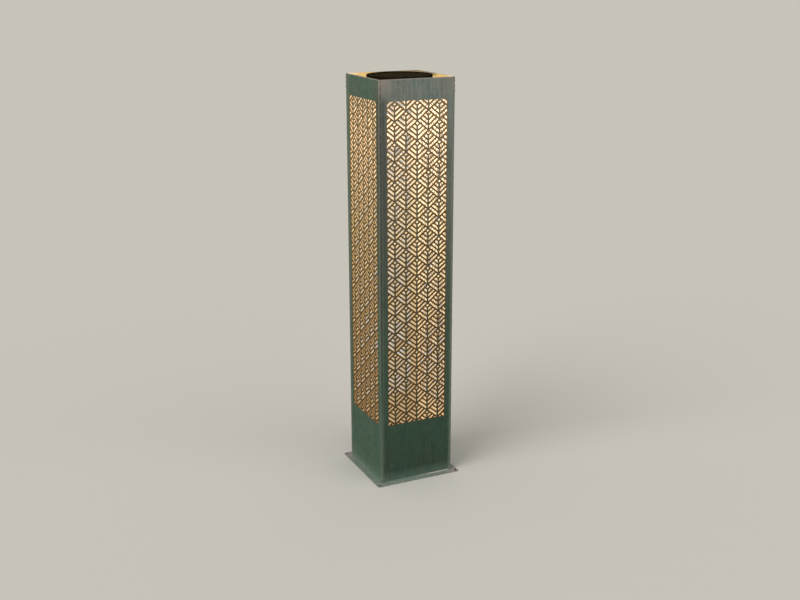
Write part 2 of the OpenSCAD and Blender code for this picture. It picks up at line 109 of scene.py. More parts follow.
def fill(tree, node, sockets):
    """Gives a node its inputs. sockets maps a socket's name or number to a value, a hex colour,
    another node's output, or another node, which stands for its first output in use."""
    for name, value in sockets.items():
        if isinstance(value, bpy.types.Node):
            value = next(output for output in value.outputs if output.enabled)
        if isinstance(value, bpy.types.NodeSocket):
            tree.links.new(value, node.inputs[name])
        elif isinstance(value, str):
            node.inputs[name].default_value = linear(value)
        else:
            node.inputs[name].default_value = value


def add(tree, kind, sockets=None, ramp=None, **settings):
    """A new node with those inputs. ramp is a list of (position, hex colour) stops."""
    node = tree.nodes.new("ShaderNode" + kind)
    for name, value in settings.items():
        setattr(node, name, value)
    fill(tree, node, sockets or {})
    for i, (position, colour) in enumerate(ramp or []):
        stops = node.color_ramp.elements
        stop = stops[i] if i < 2 else stops.new(position)
        stop.position = position
        stop.color = linear(colour)
    return node


def per(size_mm):
    """Scale of a texture whose features are about size_mm across, in a model in metres."""
    return 1000 / size_mm


# The inputs of a Mix node: its factor, then the two colours or the two numbers that it mixes
FACTOR = 0
FIRST = 6
SECOND = 7
FIRST_NUMBER = 2
SECOND_NUMBER = 3


def blank(name):
    """A material with an empty Principled shader: its material, its node tree and that shader."""
    made = bpy.data.materials.new(name)
    made.use_nodes = True
    shader = made.node_tree.nodes["Principled BSDF"]
    return made, made.node_tree, shader


def paint(finish, *names):
    """Gives these solids a finish."""
    for name in names:
        nodes[name].material_slots[0].material = finish
    print(f"{finish.name}: {', '.join(names)}")


# %% [markdown]
# ## Patina on the pierced sheets
#
# The real sheets are mild steel, laser-cut and then coloured with a green verdigris paint that is
# brushed on and then worn back by rubbing. That gives the eye four things: a matt ground that goes
# from a deep green at the foot to a chalk-like grey-green at the top, blotches some centimetres
# wide that lean to teal or to olive, fine upright brush streaks where the rubbing went furthest,
# and paler edges. Part of this is painted light: the change from foot to top is painted shade
# below and a painted sheen above; the front and back sheets are painted darker at the foot and
# greyer at the top than the side sheets, as lit and shaded copies of one patina; the streaks are
# partly a painted sheen; and the paler upright edges are partly a painted highlight.
#
# The narrow ribs between the slots are painted brown, paler towards the top, while the midribs
# stay
# green: painted light, for the glow of the ribs' lit cut edges. The inside was sprayed a pale
# cream so that it throws the light around. Its glow is painted light, an emission that stands for
# the lamp's light on it: near white beside the lamp, tan at the foot, and gold above the lamp,
# where little light gets to. The cut edges are bare steel, brown too, and their glow, strongest at
# their inner side, is painted light as well.
#
# All of this can be told apart by direction and place alone: a point whose normal looks outwards
# is patina, one that looks inwards is cream, and the rest is a cut edge. So each sheet has one
# material, made by one function that knows which way is out.

# %% Measures of the sheets, in m
sheet_low, sheet_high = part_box("front_sheet")
SHEET_TOP = sheet_high.z
SHEET_HALF = sheet_high.x
OUTSIDE = -sheet_low.y
SHEET_T = 0.0015
PATTERN_HALF = 0.0605       # half the pattern's width and a little more
PATTERN_LOW = 0.1195
PATTERN_HIGH = 0.7385
MIDRIB_PITCH = 0.0226
BORDER_START = PATTERN_HALF - 0.004     # where the plain border begins
BEAD_START = SHEET_HALF - 0.005         # where the bead covers the border
print(f"sheets {2 * SHEET_HALF * 1000:.0f} mm wide, up to {SHEET_TOP * 1000:.0f} mm")

# %% Places on the sheets where their look changes, in m
# distances from a midrib's line: green within the first, brown beyond the second
GREEN_MIDRIB, BROWN_RIB = 0.0012, 0.0030
# heights between which a look sets in: the darker and paler borders, the painted gold glow above
# the lamp, and the painted shade of the dark strip at the top edge. The darkening beside the bead
# thins out from the last of these heights up to GOLD_HIGH.
BORDER_LOW, BORDER_HIGH = 0.30, 0.60
GOLD_LOW, GOLD_HIGH = 0.742, 0.752
STRIP_LOW, STRIP_HIGH = 0.7705, 0.7735
BEAD_DARK_END = 0.735
# an edge grows paler from IN inside it to OUT outside it: worn, and on the upright edges partly a
# painted highlight. The corner grows bare from FAR to NEAR. Noise moves these borders by up to
# WAVE.
SIDE_WEAR_SHINE_IN, SIDE_WEAR_SHINE_OUT = 0.0050, 0.0025
TOP_RUB_IN, TOP_RUB_OUT = 0.0015, 0.0005
BARE_NEAR, BARE_FAR = -0.010, 0.020
SIDE_WAVE, TOP_WAVE, CORNER_WAVE = 0.003, 0.002, -0.035
# the painted glow in the corners sets in between these distances from a sheet's middle, and the
# painted shade of the corner beyond the bezel between these sums of X and Y
CORNER_NEAR, CORNER_FAR = 0.046, 0.072
BEYOND_NEAR, BEYOND_FAR = 0.062, 0.080

# %% Tones from the foot to the top, as (height in m, colour), with painted light in them
# painted shade and sheen: the front and back sheets' tones are darker at the foot and greyer at
# the top than the side sheets'
WIDE_TONES_AND_LIGHT = [(0.004, "#5a6c60"), (0.024, "#2d4536"), (0.100, "#2a4737"), (0.200, "#374e3e"),
              (0.410, "#435245"), (0.625, "#5c6158"), (0.760, "#737974")]
SIDE_TONES_AND_LIGHT = [(0.004, "#6c8475"), (0.018, "#4a6655"), (0.040, "#3d5a48"), (0.120, "#3f5a48"),
              (0.410, "#535e4d"), (0.765, "#516555")]
# painted light: the tones of the inside's glow, the side sheets' brighter
WIDE_GLOW = [(0.08, "#9f8969"), (0.30, "#b5a17a"), (0.50, "#d1c19a"), (0.66, "#eed6bf"),
             (0.735, "#efd9c2"), (0.750, "#e0c078"), (0.777, "#cba45c")]
SIDE_GLOW = [(0.08, "#b19673"), (0.30, "#cab28a"), (0.50, "#e9d5ab"), (0.66, "#fde7cb"),
             (0.735, "#f3dfc4"), (0.750, "#cfab64"), (0.777, "#b8924f")]
# painted light: the brown of the thin ribs, paler towards the top, for the glow of their lit cut
# edges
RIB_GLOW_TONES = [(0.12, "#4c3000"), (0.45, "#573805"), (0.74, "#7d6129")]


def along_height(tree, height, tones):
    """The tone at a height, from a list of (height in m, colour)."""
    share = add(tree, "Math", {0: height, 1: SHEET_TOP}, operation="DIVIDE")
    stops = [(z / SHEET_TOP, colour) for z, colour in tones]
    return add(tree, "ValToRGB", {0: share}, ramp=stops)


# %% [markdown]
# The patina's ground is mixed in layers, as the painter made it: the tone of that height, then the
# blotches, then the fine mottling, then the streaks. The pale grey of the streaks grows towards
# the
# top, most on the front and back sheets: partly rubbing, partly a painted sheen. Multiplying a
# ground by a nearly white tint moves its hue a little without hiding it. The brush streaks are one
# noise texture squeezed along the height, so that a spot 2 mm across becomes a streak about 7 cm
# long.

# %% Patina ground
def patina_ground(tree, place, height, tones, rubbed_and_sheen, seed):
    """Colour, streaks and mottling of the patina. rubbed_and_sheen is how strong the pale streaks
    grow towards the top, 0 to 1: partly rubbing, partly a painted sheen.
    """
    moved = add(tree, "VectorMath", {0: place, 1: (seed, seed * 0.7, seed * 0.3)})
    blotch = add(tree, "TexNoise", {"Vector": moved, "Scale": per(48), "Detail": 3,
                                    "Roughness": 0.5, "Distortion": 0.5})
    mottle = add(tree, "TexNoise", {"Vector": moved, "Scale": per(9), "Detail": 5,
                                    "Roughness": 0.6})
    # the brush's real hairs are 0.2 mm wide, drawn 2 mm wide so that they show
    squeezed = add(tree, "VectorMath", {0: moved, 1: (1, 1, 0.03)}, operation="MULTIPLY")
    hairs = add(tree, "TexNoise", {"Vector": squeezed, "Scale": per(2.2), "Detail": 4,
                                   "Roughness": 0.65})
    streaks = add(tree, "MapRange", {"Value": hairs, "From Min": 0.40, "From Max": 0.72})

    ground = along_height(tree, height, tones)
    lean = add(tree, "ValToRGB", {0: blotch}, ramp=[
        (0.30, "#d6efe9"), (0.44, "#eef6f2"), (0.56, "#f7f5ee"), (0.70, "#f4ebe8")])
    ground = add(tree, "Mix", {FACTOR: 1.0, FIRST: ground, SECOND: lean}, data_type="RGBA",
                 blend_type="MULTIPLY")
    speckle = add(tree, "ValToRGB", {0: mottle}, ramp=[(0.34, "#eaeaea"), (0.60, "#ffffff")])
    ground = add(tree, "Mix", {FACTOR: 1.0, FIRST: ground, SECOND: speckle}, data_type="RGBA",
                 blend_type="MULTIPLY")
    # painted sheen: the pale streaks grow stronger towards the top, partly from rubbing
    sheen_and_rub_up = add(tree, "MapRange", {"Value": height, "From Min": 0.35, "From Max": SHEET_TOP,
                                    "To Min": 0.06, "To Max": rubbed_and_sheen})
    streaks = add(tree, "Math", {0: streaks, 1: sheen_and_rub_up}, operation="MULTIPLY")
    ground = add(tree, "Mix", {FACTOR: streaks, FIRST: ground, SECOND: "#a4a7a1"},
                 data_type="RGBA")
    return ground, streaks, mottle


# %% [markdown]
# The sheet's material adds what depends on the place on the sheet. Masks do that: each is a number
# from 0 to 1 that comes from a distance, such as the distance to the upright edge or to the
# nearest midrib.

# %% Material of a pierced sheet
def pierced_sheet_patina(name, outward, tones, glow_tones, glow_level, rubbed_and_sheen, bare_share,
                         bare_side, bead_side_tone, seed):
    """Patina outside, cream inside and brown cut edges, the inside and the edges with painted
    light, for the sheet that faces outward. bare_share of the patina is worn off its upper corner
    on the bare side (-1 left, 1 right). glow_level is the strength of the painted light on its
    inside.
    bead_side_tone is the tone that darkens it beside the bead, and seed moves the noise, so that
    no two sheets are alike."""
    finish, tree, shader = blank(name)
    outward = Vector(outward)
    along = Vector((-outward.y, outward.x, 0))
    place = add(tree, "TexCoord").outputs["Object"]
    normal = add(tree, "NewGeometry").outputs["Normal"]
    facing = add(tree, "VectorMath", {0: normal, 1: outward}, operation="DOT_PRODUCT")
    across = add(tree, "VectorMath", {0: place, 1: along}, operation="DOT_PRODUCT")
    depth = add(tree, "VectorMath", {0: place, 1: outward}, operation="DOT_PRODUCT")
    height = add(tree, "SeparateXYZ", {0: place}).outputs["Z"]
    is_inside = add(tree, "Math", {0: facing, 1: -0.5}, operation="LESS_THAN")
    is_outside = add(tree, "Math", {0: facing, 1: 0.5}, operation="GREATER_THAN")
    patina, streaks, mottle = patina_ground(tree, place, height, tones, rubbed_and_sheen, seed)

    # where the pattern is, and how far the nearest midrib is
    off_middle = add(tree, "Math", {0: across}, operation="ABSOLUTE")
    pierced = add(tree, "Math", {0: off_middle, 1: PATTERN_HALF}, operation="LESS_THAN")
    above = add(tree, "Math", {0: height, 1: PATTERN_LOW}, operation="GREATER_THAN")
    below = add(tree, "Math", {0: height, 1: PATTERN_HIGH}, operation="LESS_THAN")
    pierced = add(tree, "Math", {0: pierced, 1: above}, operation="MULTIPLY")
    pierced = add(tree, "Math", {0: pierced, 1: below}, operation="MULTIPLY")
    off_midrib = add(tree, "Math", {0: off_middle, 1: MIDRIB_PITCH / 2}, operation="PINGPONG")
    # painted light: thin ribs are drawn brown, for the glow of their lit cut edges; the midribs
    # stay green
    rib_glow = add(tree, "MapRange", {"Value": off_midrib, "From Min": GREEN_MIDRIB,
                                    "From Max": BROWN_RIB, "To Min": 0.35, "To Max": 0.92})
    rib_glow = add(tree, "Math", {0: rib_glow, 1: pierced}, operation="MULTIPLY")
    brown_tone = along_height(tree, height, RIB_GLOW_TONES)
    patina = add(tree, "Mix", {FACTOR: rib_glow, FIRST: patina, SECOND: brown_tone}, data_type="RGBA")

    # darker beside the bead on the bare side, in the upper part
    off_bead = add(tree, "Math", {0: across, 1: bare_side}, operation="MULTIPLY")
    darker_by_bead = add(tree, "MapRange", {"Value": off_bead, "From Min": BORDER_START,
                                    "From Max": BEAD_START, "To Max": 0.70},
                 interpolation_type="SMOOTHSTEP")
    upper = add(tree, "MapRange", {"Value": height, "From Min": BORDER_LOW, "From Max": BORDER_HIGH})
    under = add(tree, "MapRange", {"Value": height, "From Min": GOLD_HIGH, "From Max": BEAD_DARK_END})
    darker_by_bead = add(tree, "Math", {0: darker_by_bead, 1: upper}, operation="MULTIPLY")
    darker_by_bead = add(tree, "Math", {0: darker_by_bead, 1: under}, operation="MULTIPLY")
    patina = add(tree, "Mix", {FACTOR: darker_by_bead, FIRST: patina, SECOND: bead_side_tone}, data_type="RGBA")

    # the border on the other side is a little paler there
    paler_border = add(tree, "MapRange", {"Value": off_bead, "From Min": -BORDER_START,
                                    "From Max": -PATTERN_HALF, "To Max": 0.055})
    paler_border = add(tree, "Math", {0: paler_border, 1: upper}, operation="MULTIPLY")
    patina = add(tree, "Mix", {FACTOR: paler_border, FIRST: patina, SECOND: "#b8b4a0"}, data_type="RGBA")

    # paler upright edges, worn and partly a painted highlight; the worn top edge; and the bare
    # upper corner
    wavy = add(tree, "Math", {0: mottle, 1: SIDE_WAVE, 2: off_middle}, operation="MULTIPLY_ADD")
    wear_and_shine = add(tree, "MapRange", {"Value": wavy, "From Min": SHEET_HALF - SIDE_WEAR_SHINE_IN,
                                 "From Max": SHEET_HALF + SIDE_WEAR_SHINE_OUT, "To Max": 0.32},
              interpolation_type="SMOOTHSTEP")
    patina = add(tree, "Mix", {FACTOR: wear_and_shine, FIRST: patina, SECOND: "#8b968a"}, data_type="RGBA")
    wavy = add(tree, "Math", {0: mottle, 1: TOP_WAVE, 2: height}, operation="MULTIPLY_ADD")
    wear_and_shine = add(tree, "MapRange", {"Value": wavy, "From Min": SHEET_TOP - TOP_RUB_IN,
                                 "From Max": SHEET_TOP + TOP_RUB_OUT, "To Max": 0.65},
              interpolation_type="SMOOTHSTEP")
    patina = add(tree, "Mix", {FACTOR: wear_and_shine, FIRST: patina, SECOND: "#a29a8e"}, data_type="RGBA")
    corner = tuple(along * bare_side * SHEET_HALF + outward * OUTSIDE + Vector((0, 0, SHEET_TOP)))
    off_corner = add(tree, "VectorMath", {0: place, 1: corner}, operation="DISTANCE")
    off_corner = add(tree, "Math", {0: mottle, 1: CORNER_WAVE, 2: off_corner},
                     operation="MULTIPLY_ADD")
    bare = add(tree, "MapRange", {"Value": off_corner, "From Min": BARE_FAR, "From Max": BARE_NEAR,
                                  "To Max": bare_share})
    patina = add(tree, "Mix", {FACTOR: bare, FIRST: patina, SECOND: "#968b82"}, data_type="RGBA")

    # inside and cut edges
    brown_tone = add(tree, "ValToRGB", {0: mottle}, ramp=[(0.35, "#332108"), (0.65, "#573c10")])
    edge = add(tree, "Mix", {FACTOR: pierced, FIRST: patina, SECOND: brown_tone}, data_type="RGBA")
    cream = add(tree, "ValToRGB", {0: mottle}, ramp=[(0.3, "#7d7460"), (0.7, "#8a806a")])
    colour = add(tree, "Mix", {FACTOR: is_inside, FIRST: edge, SECOND: cream}, data_type="RGBA")
    colour = add(tree, "Mix", {FACTOR: is_outside, FIRST: colour, SECOND: patina},
                 data_type="RGBA")

    # the tone of the painted glow, paler in the corners above the lamp
    glow = along_height(tree, height, glow_tones)
    in_corner = add(tree, "MapRange", {"Value": off_middle, "From Min": CORNER_NEAR,
                                       "From Max": CORNER_FAR, "To Max": 0.9},
                    interpolation_type="SMOOTHSTEP")
    over_lamp = add(tree, "MapRange", {"Value": height, "From Min": GOLD_LOW,
                                       "From Max": GOLD_HIGH})
    in_corner = add(tree, "Math", {0: in_corner, 1: over_lamp}, operation="MULTIPLY")
    glow = add(tree, "Mix", {FACTOR: in_corner, FIRST: glow, SECOND: "#efdcb2"}, data_type="RGBA")

    # painted shade: beyond the bezel, in the corner on the battery's side, little light gets up to
    # the top edge, so a dark strip is drawn there
    diagonal = add(tree, "VectorMath", {0: place, 1: (1, 1, 0)}, operation="DOT_PRODUCT")
    beyond = add(tree, "MapRange", {"Value": diagonal, "From Min": BEYOND_NEAR,
                                    "From Max": BEYOND_FAR})
    top_strip = add(tree, "MapRange", {"Value": height, "From Min": STRIP_LOW,
                                       "From Max": STRIP_HIGH, "To Max": 0.92})
    dim = add(tree, "Math", {0: beyond, 1: top_strip}, operation="MULTIPLY")
    glow = add(tree, "Mix", {FACTOR: dim, FIRST: glow, SECOND: "#3c3228"}, data_type="RGBA")

    # painted light: the inside glows in full, a cut edge most at its inner side, and the outside
    # not at all
    edge_shine = add(tree, "MapRange", {"Value": depth, "From Min": OUTSIDE,
                                        "From Max": OUTSIDE - SHEET_T,
                                        "To Min": 0.06, "To Max": 0.62})
    edge_shine = add(tree, "Math", {0: edge_shine, 1: pierced}, operation="MULTIPLY")
    shine = add(tree, "Mix", {FACTOR: is_inside, FIRST_NUMBER: edge_shine, SECOND_NUMBER: 1.0},
                data_type="FLOAT")
    dark_side = add(tree, "Math", {0: 1.0, 1: is_outside}, operation="SUBTRACT")
    shine = add(tree, "Math", {0: shine, 1: dark_side}, operation="MULTIPLY")
    edge_glow_tint = add(tree, "Mix", {FACTOR: is_inside, FIRST: "#f5d9a8", SECOND: "#ffffff"},
                   data_type="RGBA")
    glow = add(tree, "Mix", {FACTOR: 1.0, FIRST: glow, SECOND: edge_glow_tint}, data_type="RGBA",
               blend_type="MULTIPLY")
    light = add(tree, "Mix", {FACTOR: shine, FIRST: "#000000", SECOND: glow}, data_type="RGBA")

    rough = add(tree, "MapRange", {"Value": mottle, "From Min": 0.3, "From Max": 0.7,
                                   "To Min": 0.70, "To Max": 0.54})
    relief = add(tree, "Math", {0: streaks, 1: mottle}, operation="ADD")
    bump = add(tree, "Bump", {"Strength": 0.2, "Distance": 0.0003, "Height": relief})
    fill(tree, shader, {"Base Color": colour, "Emission Color": light, "Roughness": rough,
                        "Normal": bump, "Emission Strength": glow_level,
                        "Specular IOR Level": 0.25})
    # large and dim, so Cycles need not sample it as a lamp
    finish.cycles.emission_sampling = "NONE"
    return finish


# %% Give each sheet its patina
# sheet, outward, tones, glow tones, glow level, rubbed and sheen, bare share, bare side, bead side
# tone, seed
SHEETS = [
    ("front_sheet", (0, -1, 0), WIDE_TONES_AND_LIGHT, WIDE_GLOW, 1.0, 0.48, 0.80, -1, "#403f39", 0.0),
    ("left_sheet", (-1, 0, 0), SIDE_TONES_AND_LIGHT, SIDE_GLOW, 1.75, 0.06, 0.05, 1, "#4e3d24", 1.7),
    ("right_sheet", (1, 0, 0), SIDE_TONES_AND_LIGHT, SIDE_GLOW, 1.25, 0.25, 0.40, 1, "#4e3d24", 3.1),
    ("back_sheet", (0, 1, 0), WIDE_TONES_AND_LIGHT, WIDE_GLOW, 1.0, 0.40, 0.60, -1, "#403f39", 4.9),
]
for sheet, *look in SHEETS:
    paint(pierced_sheet_patina("verdigris_patina_" + sheet, *look), sheet)

# %% [markdown]
# ## Foot plate
#
# The plate is the same steel and the same patina, but it lies flat: water stands on it and shoes
# rub it, so it is paler and greyer, and pinkish at two of its corners. The walls of the bolt holes
# are painted nearly black: painted shade, for the dark inside the holes.

# %% Foot plate material
FOOT_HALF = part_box("foot_plate")[1].x
HOLE_PLACE = FOOT_HALF - 0.005          # of a hole's centre, in X and in Y
HOLE_R = 0.0025
PINK_NEAR, PINK_FAR = 0.008, 0.030      # the pinkish tone fades between these distances from it


def foot_patina():
    finish, tree, shader = blank("verdigris_patina_foot")
    place = add(tree, "TexCoord").outputs["Object"]
    normal = add(tree, "NewGeometry").outputs["Normal"]
    normal_up = add(tree, "SeparateXYZ", {0: normal}).outputs["Z"]
    blotch = add(tree, "TexNoise", {"Vector": place, "Scale": per(30), "Detail": 4,
                                    "Distortion": 0.5})
    mottle = add(tree, "TexNoise", {"Vector": place, "Scale": per(5), "Detail": 5,
                                    "Roughness": 0.6})
    # one quarter stands for all four
    quarter = add(tree, "VectorMath", {0: place}, operation="ABSOLUTE")
    flat = add(tree, "VectorMath", {0: quarter, 1: (1, 1, 0)}, operation="MULTIPLY")
    off_hole = add(tree, "VectorMath", {0: flat, 1: (HOLE_PLACE, HOLE_PLACE, 0)},
                   operation="DISTANCE")
    near_corner = add(tree, "MapRange", {"Value": off_hole, "From Min": PINK_FAR,
                                         "From Max": PINK_NEAR, "To Max": 0.6},
                      interpolation_type="SMOOTHSTEP")
    # the product of X and Y is below zero at the two corners on one diagonal
    parts = add(tree, "SeparateXYZ", {0: place}).outputs
    product = add(tree, "Math", {0: parts["X"], 1: parts["Y"]}, operation="MULTIPLY")
    on_diagonal = add(tree, "MapRange", {"Value": product, "From Min": 0.0, "From Max": -0.003})
    near_corner = add(tree, "Math", {0: near_corner, 1: on_diagonal}, operation="MULTIPLY")
    upright = add(tree, "Math", {0: normal_up, 1: 0.5}, operation="LESS_THAN")
    # painted shade: the walls of the bolt holes are drawn nearly black
    hole_shade = add(tree, "Math", {0: off_hole, 1: HOLE_R * 1.1}, operation="LESS_THAN")
    hole_shade = add(tree, "Math", {0: hole_shade, 1: upright}, operation="MULTIPLY")

    ground = add(tree, "ValToRGB", {0: blotch}, ramp=[
        (0.32, "#74857a"), (0.48, "#7f8b80"), (0.66, "#858b80")])
    speckle = add(tree, "ValToRGB", {0: mottle}, ramp=[(0.35, "#e2e2e2"), (0.62, "#ffffff")])
    ground = add(tree, "Mix", {FACTOR: 1.0, FIRST: ground, SECOND: speckle}, data_type="RGBA",
                 blend_type="MULTIPLY")
    colour = add(tree, "Mix", {FACTOR: near_corner, FIRST: ground, SECOND: "#988887"},
                 data_type="RGBA")
    colour = add(tree, "Mix", {FACTOR: hole_shade, FIRST: colour, SECOND: "#0f0a07"},
                 data_type="RGBA")
    rough = add(tree, "MapRange", {"Value": mottle, "From Min": 0.3, "From Max": 0.7,
                                   "To Min": 0.72, "To Max": 0.55})
    bump = add(tree, "Bump", {"Strength": 0.25, "Distance": 0.0004, "Height": mottle})
    fill(tree, shader, {"Base Color": colour, "Roughness": rough, "Normal": bump,
                        "Specular IOR Level": 0.3})
    return finish


paint(foot_patina(), "foot_plate")

# %% [markdown]
# ## Weld beads
#
# The open corners are filled with a hand-laid bead that was ground a little and painted over. Each
# side of two of the beads takes the tones of the sheet beside it, so their tone follows their
# normal, and with those tones it takes their painted light. Along their seam runs a dark line:
# painted shade in the groove where bead and sheet meet. The other two, and all four near the foot,
# take the paler tones of the side sheets and are worn paler still. The lumps at the top are bare,
# a pinkish grey. A bead freezes in ripples about 2 mm apart: a wave texture along the height, bent
# by noise so that no two are alike.

# %% Weld material
FOOT_PAINT_LOW, FOOT_PAINT_HIGH = 0.10, 0.22    # the side sheets' paint ends between these heights
SEAM_SHADE_LOW, SEAM_SHADE_HIGH = 0.15, 0.50                # the painted shade in the seam sets in
LUMPS_LOW, LUMPS_HIGH = 0.742, 0.765            # the bare lumps begin


def painted_weld():
    finish, tree, shader = blank("painted_steel_weld")
    place = add(tree, "TexCoord").outputs["Object"]
    parts = add(tree, "SeparateXYZ", {0: place}).outputs
    height = parts["Z"]
    # 1 at two beads, front left and back right, and 0 at the other two
    product = add(tree, "Math", {0: parts["X"], 1: parts["Y"]}, operation="MULTIPLY")
    seam_shaded_bead = add(tree, "Math", {0: product, 1: 0.0}, operation="GREATER_THAN")
    other_bead = add(tree, "Math", {0: 1.0, 1: seam_shaded_bead}, operation="SUBTRACT")
    normal = add(tree, "NewGeometry").outputs["Normal"]
    turned = add(tree, "SeparateXYZ", {0: normal}).outputs
    towards_side = add(tree, "Math", {0: turned["X"]}, operation="ABSOLUTE")
    towards_front = add(tree, "Math", {0: turned["Y"]}, operation="ABSOLUTE")
    noise = add(tree, "TexNoise", {"Vector": place, "Scale": per(3), "Detail": 4,
                                   "Roughness": 0.6})
    blotch = add(tree, "TexNoise", {"Vector": place, "Scale": per(11), "Detail": 3})
    # a wave texture repeats every 2 pi / 20 of its unit
    ripples = add(tree, "TexWave", {"Vector": place, "Scale": per(2.4) * math.tau / 20,
                                    "Distortion": 6.0, "Detail": 3, "Detail Scale": 1.5},
                  bands_direction="Z").outputs[1]

    # the tones of whichever sheet the bead turns towards, with the painted light that they carry
    share = add(tree, "MapRange", {"Value": towards_side, "From Min": 0.60, "From Max": 0.82})
    at_foot = add(tree, "MapRange", {"Value": height, "From Min": FOOT_PAINT_HIGH,
                                     "From Max": FOOT_PAINT_LOW})
    share = add(tree, "Math", {0: share, 1: at_foot}, operation="MAXIMUM")
    share = add(tree, "Math", {0: share, 1: other_bead}, operation="MAXIMUM")
    wide_tone = along_height(tree, height, WIDE_TONES_AND_LIGHT)
    side_tone = along_height(tree, height, SIDE_TONES_AND_LIGHT)
    colour = add(tree, "Mix", {FACTOR: share, FIRST: wide_tone, SECOND: side_tone},
                 data_type="RGBA")
    worn = add(tree, "MapRange", {"Value": height, "From Min": 0.1, "From Max": SHEET_TOP,
                                  "To Min": 0.25, "To Max": 0.55})
    worn = add(tree, "Math", {0: other_bead, 1: 0.25, 2: worn}, operation="MULTIPLY_ADD")
    worn = add(tree, "Math", {0: worn, 1: share}, operation="MULTIPLY")
    colour = add(tree, "Mix", {FACTOR: worn, FIRST: colour, SECOND: "#85867a"}, data_type="RGBA")

    # painted shade in the groove where the bead meets the front and back sheets
    seam = add(tree, "MapRange", {"Value": towards_front, "From Min": 0.80, "From Max": 0.93})
    seam_patches = add(tree, "MapRange", {"Value": blotch, "From Min": 0.42, "From Max": 0.56,
                                   "To Min": 0.25, "To Max": 0.75})
    upper = add(tree, "MapRange", {"Value": height, "From Min": SEAM_SHADE_LOW, "From Max": SEAM_SHADE_HIGH})
    seam_shade = add(tree, "Math", {0: seam, 1: seam_patches}, operation="MULTIPLY")
    seam_shade = add(tree, "Math", {0: seam_shade, 1: upper}, operation="MULTIPLY")
    seam_shade = add(tree, "Math", {0: seam_shade, 1: seam_shaded_bead}, operation="MULTIPLY")
    colour = add(tree, "Mix", {FACTOR: seam_shade, FIRST: colour, SECOND: "#43342c"}, data_type="RGBA")

    # bare lumps at the top
    top = add(tree, "MapRange", {"Value": height, "From Min": LUMPS_LOW, "From Max": LUMPS_HIGH})
    lump = add(tree, "MapRange", {"Value": blotch, "From Min": 0.40, "From Max": 0.52,
                                  "To Min": 0.2, "To Max": 0.8})
    bare = add(tree, "Math", {0: top, 1: lump}, operation="MULTIPLY")
    colour = add(tree, "Mix", {FACTOR: bare, FIRST: colour, SECOND: "#a0938a"}, data_type="RGBA")
    patches = add(tree, "ValToRGB", {0: noise}, ramp=[(0.35, "#d2d2d2"), (0.65, "#ffffff")])
    colour = add(tree, "Mix", {FACTOR: 1.0, FIRST: colour, SECOND: patches}, data_type="RGBA",
                 blend_type="MULTIPLY")
    relief = add(tree, "Math", {0: ripples, 1: noise}, operation="ADD")
    bump = add(tree, "Bump", {"Strength": 0.35, "Distance": 0.0004, "Height": relief})
    rough = add(tree, "MapRange", {"Value": noise, "To Min": 0.70, "To Max": 0.50})
    fill(tree, shader, {"Base Color": colour, "Roughness": rough, "Normal": bump,
                        "Specular IOR Level": 0.25})
    return finish


paint(painted_weld(), "corner_welds")

# %% [markdown]
# The bead along the foot was painted with the sheets. On the right half of the front it carries a
# painted highlight: pale steel-grey patches along it stand for the light that it catches there.

# %% Foot weld material, with a painted highlight
FRONT_BEAD = -0.070                             # the front bead lies before this Y
HIGHLIGHT_START, HIGHLIGHT_FULL = -0.005, 0.035     # along X


def foot_weld_with_highlight():
    finish, tree, shader = blank("foot_weld_painted_highlight")
    place = add(tree, "TexCoord").outputs["Object"]
    parts = add(tree, "SeparateXYZ", {0: place}).outputs
    noise = add(tree, "TexNoise", {"Vector": place, "Scale": per(3), "Detail": 4,
                                   "Roughness": 0.6})
    highlight_patches = add(tree, "TexNoise", {"Vector": place, "Scale": per(25), "Detail": 2})
    front = add(tree, "Math", {0: parts["Y"], 1: FRONT_BEAD}, operation="LESS_THAN")
    right = add(tree, "MapRange", {"Value": parts["X"], "From Min": HIGHLIGHT_START,
                                   "From Max": HIGHLIGHT_FULL, "To Max": 0.9})
    # painted highlight: pale steel-grey patches on the right half of the front bead
    bare = add(tree, "MapRange", {"Value": highlight_patches, "From Min": 0.40, "From Max": 0.55,
                                  "To Min": 0.55})
    bare = add(tree, "Math", {0: bare, 1: front}, operation="MULTIPLY")
    bare = add(tree, "Math", {0: bare, 1: right}, operation="MULTIPLY")
    paint_tone = add(tree, "ValToRGB", {0: noise}, ramp=[(0.35, "#5e7165"), (0.65, "#6e8074")])
    highlight_tone = add(tree, "ValToRGB", {0: noise}, ramp=[(0.35, "#a19e91"), (0.65, "#bcb9ab")])
    colour = add(tree, "Mix", {FACTOR: bare, FIRST: paint_tone, SECOND: highlight_tone},
                 data_type="RGBA")
    bump = add(tree, "Bump", {"Strength": 0.4, "Distance": 0.0004, "Height": noise})
    fill(tree, shader, {"Base Color": colour, "Normal": bump, "Roughness": 0.55,
                        "Specular IOR Level": 0.3})
    return finish


paint(foot_weld_with_highlight(), "foot_welds")

# %% [markdown]
# ## Zinc-plated steel
#
# The hanger tabs are bent from zinc-plated strip. Zinc is a plain grey with a soft, cloudy
# brightness. The screws have the same plating with smaller clouds, and are smoother. The battery's
# contacts are nickel, which is warmer and smoother still.

